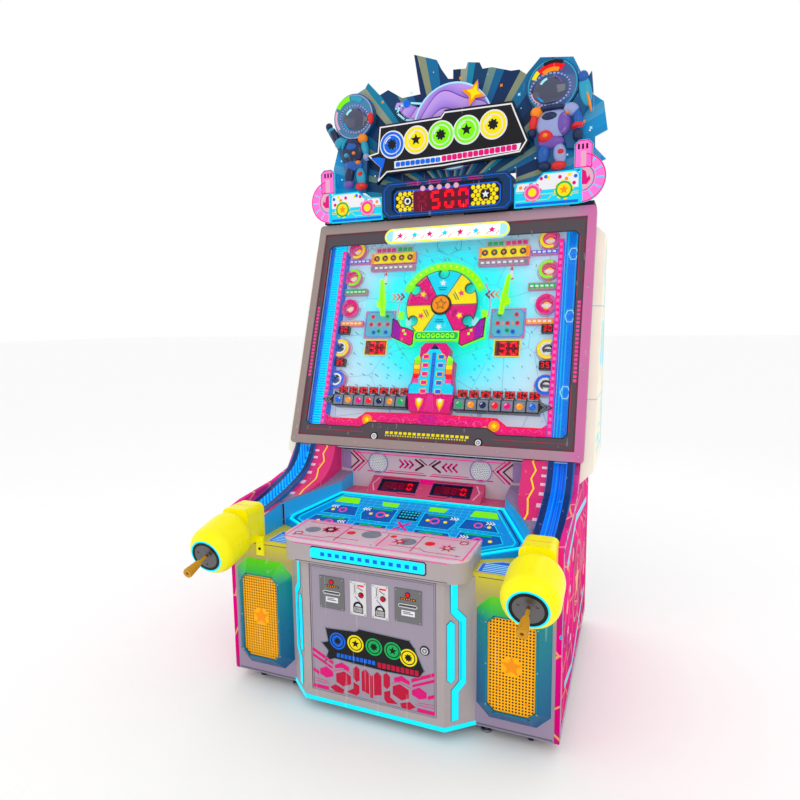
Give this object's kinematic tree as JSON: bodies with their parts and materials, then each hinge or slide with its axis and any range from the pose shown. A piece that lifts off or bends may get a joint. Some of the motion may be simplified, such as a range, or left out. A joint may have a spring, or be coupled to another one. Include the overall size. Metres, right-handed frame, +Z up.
{
  "type": "ball-launching redemption arcade cabinet",
  "caption": "Two-player arcade cabinet with spring ball launchers, a leaning glazed playfield with prize wheel, a hinged coin door, side light boxes and a cut-out marquee.",
  "frame": {"origin": "on the floor, in the middle of the footprint, under the centre of the bounding box", "axes": "+X to the player's right, +Y towards the back of the cabinet, +Z up"},
  "size_m": [1.426, 1.358, 2.728],
  "materials": {
    "brass": "polished",
    "button_red": "translucent, glossy",
    "cabinet_board": "board under printed film",
    "cast_metal": "turned, polished",
    "chrome": "plated",
    "clear_glass": "clear, polished",
    "dark_board": "board, satin black paint",
    "dark_panel": "satin black paint",
    "deck_blue": "printed, glossy",
    "door_lilac": "printed film on steel",
    "field_dark": "printed, glossy",
    "field_white": "printed, glossy",
    "grey_plastic": "moulded, satin",
    "launcher_yellow": "moulded, glossy",
    "light_box": "translucent, lit from behind",
    "lime_plastic": "translucent, glossy",
    "lit_cyan": "translucent, lit from behind",
    "navy_panel": "printed, glossy",
    "orange_grille": "perforated sheet, painted",
    "pink_panel": "printed, glossy",
    "plate_grey": "powder coated",
    "plate_white": "moulded, glossy",
    "side_art": "printed film on board",
    "speaker_cone": "pressed cone and frame",
    "steel": "zinc plated",
    "teal_plastic": "moulded, glossy",
    "track_blue": "printed, glossy",
    "wheel_print": "printed, glossy",
    "wheel_rubber": "hard rubber"
  },
  "bodies": {
    "cabinet": {"side_panel_left": "side_art", "side_panel_right": "side_art", "bottom_plate": "cabinet_board", "back_panel": "dark_board", "wing_fronts": "cabinet_board", "speaker_bezels": "teal_plastic", "speaker_grilles": "orange_grille", "speakers": "speaker_cone", "console_shell": "grey_plastic", "console_head": "grey_plastic", "console_top": "plate_white", "console_lights": "lit_cyan", "deck_panel": "deck_blue", "deck_surround": "pink_panel", "score_panel": "pink_panel", "speaker_panel": "plate_white", "launch_tracks": "track_blue", "launcher_housings": "launcher_yellow", "launcher_end_plates": "cast_metal", "playfield_board": "field_white", "lane_rails": "field_dark", "wheel_motor": "steel", "wheel_surround": "lime_plastic", "centre_column": "field_dark", "catch_trays": "plate_grey", "playfield_apron": "pink_panel", "scoring_fittings": "wheel_print", "playfield_pins": "brass", "marquee_base": "dark_board", "marquee_display": "navy_panel", "marquee_side_boxes": "teal_plastic", "backdrop_fan": "navy_panel", "planet_ornament": "wheel_print", "title_plate": "navy_panel", "astronauts": "plate_white", "side_light_boxes": "light_box", "floor_hardware": "steel", "power_inlet": "dark_panel"},
    "coin_door": {"coin_door": "door_lilac", "coin_acceptors": "plate_white", "ticket_outlets": "plate_grey"},
    "coin_return_left": {"coin_return_button_left": "button_red"},
    "coin_return_right": {"coin_return_button_right": "button_red"},
    "coin_lock": {"coin_door_lock": "chrome"},
    "glass_door": {"door_frame": "grey_plastic", "door_bezel": "dark_panel", "door_glass": "clear_glass", "door_top_light": "lit_cyan"},
    "glass_door_lock_left": {"door_lock_left": "chrome"},
    "glass_door_lock_right": {"door_lock_right": "chrome"},
    "wheel": {"prize_wheel": "wheel_print"},
    "flipper_l": {"flipper_left": "lime_plastic"},
    "flipper_r": {"flipper_right": "lime_plastic"},
    "plunger_l": {"plunger_left": "launcher_yellow"},
    "plunger_r": {"plunger_right": "launcher_yellow"},
    "caster_fl": {"caster_wheel_front_left": "wheel_rubber"},
    "caster_fr": {"caster_wheel_front_right": "wheel_rubber"},
    "caster_rl": {"caster_wheel_rear_left": "wheel_rubber"},
    "caster_rr": {"caster_wheel_rear_right": "wheel_rubber"},
    "service": {"service_door": "dark_board"}
  },
  "joints": [
    {"name": "coin_door_hinge", "type": "hinge", "parent": "cabinet", "child": "coin_door", "pos_m": [-0.241, -0.40999, 0.3435], "axis": [0, 0, -1], "range_deg": [0, 100]},
    {"name": "coin_lock_turn", "type": "hinge", "parent": "coin_door", "child": "coin_lock", "pos_m": [0.208, -0.41599, 0.34], "axis": [0, 1, 0], "range_deg": [-90, 0]},
    {"name": "coin_return_left_push", "type": "slide", "parent": "coin_door", "child": "coin_return_left", "axis": [0, 1, 0], "range_m": [0, 0.004], "stiffness_N_per_m": 300, "springref_m": -0.002},
    {"name": "coin_return_right_push", "type": "slide", "parent": "coin_door", "child": "coin_return_right", "axis": [0, 1, 0], "range_m": [0, 0.004], "stiffness_N_per_m": 300, "springref_m": -0.002},
    {"name": "glass_door_hinge", "type": "hinge", "parent": "cabinet", "child": "glass_door", "pos_m": [0, 0.53257, 1.98025], "axis": [-1, 0, 0], "range_deg": [0, 55]},
    {"name": "glass_door_lock_left_turn", "type": "hinge", "parent": "glass_door", "child": "glass_door_lock_left", "pos_m": [-0.243, 0.18166, 0.9673], "axis": [0, -0.9455, 0.3256], "range_deg": [-90, 0]},
    {"name": "glass_door_lock_right_turn", "type": "hinge", "parent": "glass_door", "child": "glass_door_lock_right", "pos_m": [0.243, 0.18166, 0.9673], "axis": [0, -0.9455, 0.3256], "range_deg": [-90, 0]},
    {"name": "prize_wheel_spin", "type": "hinge", "parent": "cabinet", "child": "wheel", "pos_m": [0, 0.44141, 1.5558], "axis": [0, -0.9455, 0.3256], "continuous": true},
    {"name": "flipper_left_swing", "type": "hinge", "parent": "cabinet", "child": "flipper_l", "pos_m": [-0.309, 0.42133, 1.57118], "axis": [0, -0.9455, 0.3256], "range_deg": [-15, 15]},
    {"name": "flipper_right_swing", "type": "hinge", "parent": "cabinet", "child": "flipper_r", "pos_m": [0.309, 0.42133, 1.57118], "axis": [0, -0.9455, 0.3256], "range_deg": [-15, 15]},
    {"name": "plunger_left_pull", "type": "slide", "parent": "cabinet", "child": "plunger_l", "axis": [0, -0.9703, -0.2419], "range_m": [0, 0.06], "stiffness_N_per_m": 250, "springref_m": -0.02},
    {"name": "plunger_right_pull", "type": "slide", "parent": "cabinet", "child": "plunger_r", "axis": [0, -0.9703, -0.2419], "range_m": [0, 0.06], "stiffness_N_per_m": 250, "springref_m": -0.02},
    {"name": "service_door_hinge", "type": "hinge", "parent": "cabinet", "child": "service", "pos_m": [-0.24, 0.67001, 0.5], "axis": [0, 0, 1], "range_deg": [0, 110]},
    {"name": "caster_fl_roll", "type": "hinge", "parent": "cabinet", "child": "caster_fl", "pos_m": [-0.56, -0.28299, 0.0215], "axis": [1, 0, 0], "continuous": true},
    {"name": "caster_fr_roll", "type": "hinge", "parent": "cabinet", "child": "caster_fr", "pos_m": [0.56, -0.28299, 0.0215], "axis": [1, 0, 0], "continuous": true},
    {"name": "caster_rl_roll", "type": "hinge", "parent": "cabinet", "child": "caster_rl", "pos_m": [-0.56, 0.61101, 0.0215], "axis": [1, 0, 0], "continuous": true},
    {"name": "caster_rr_roll", "type": "hinge", "parent": "cabinet", "child": "caster_rr", "pos_m": [0.56, 0.61101, 0.0215], "axis": [1, 0, 0], "continuous": true}
  ]
}
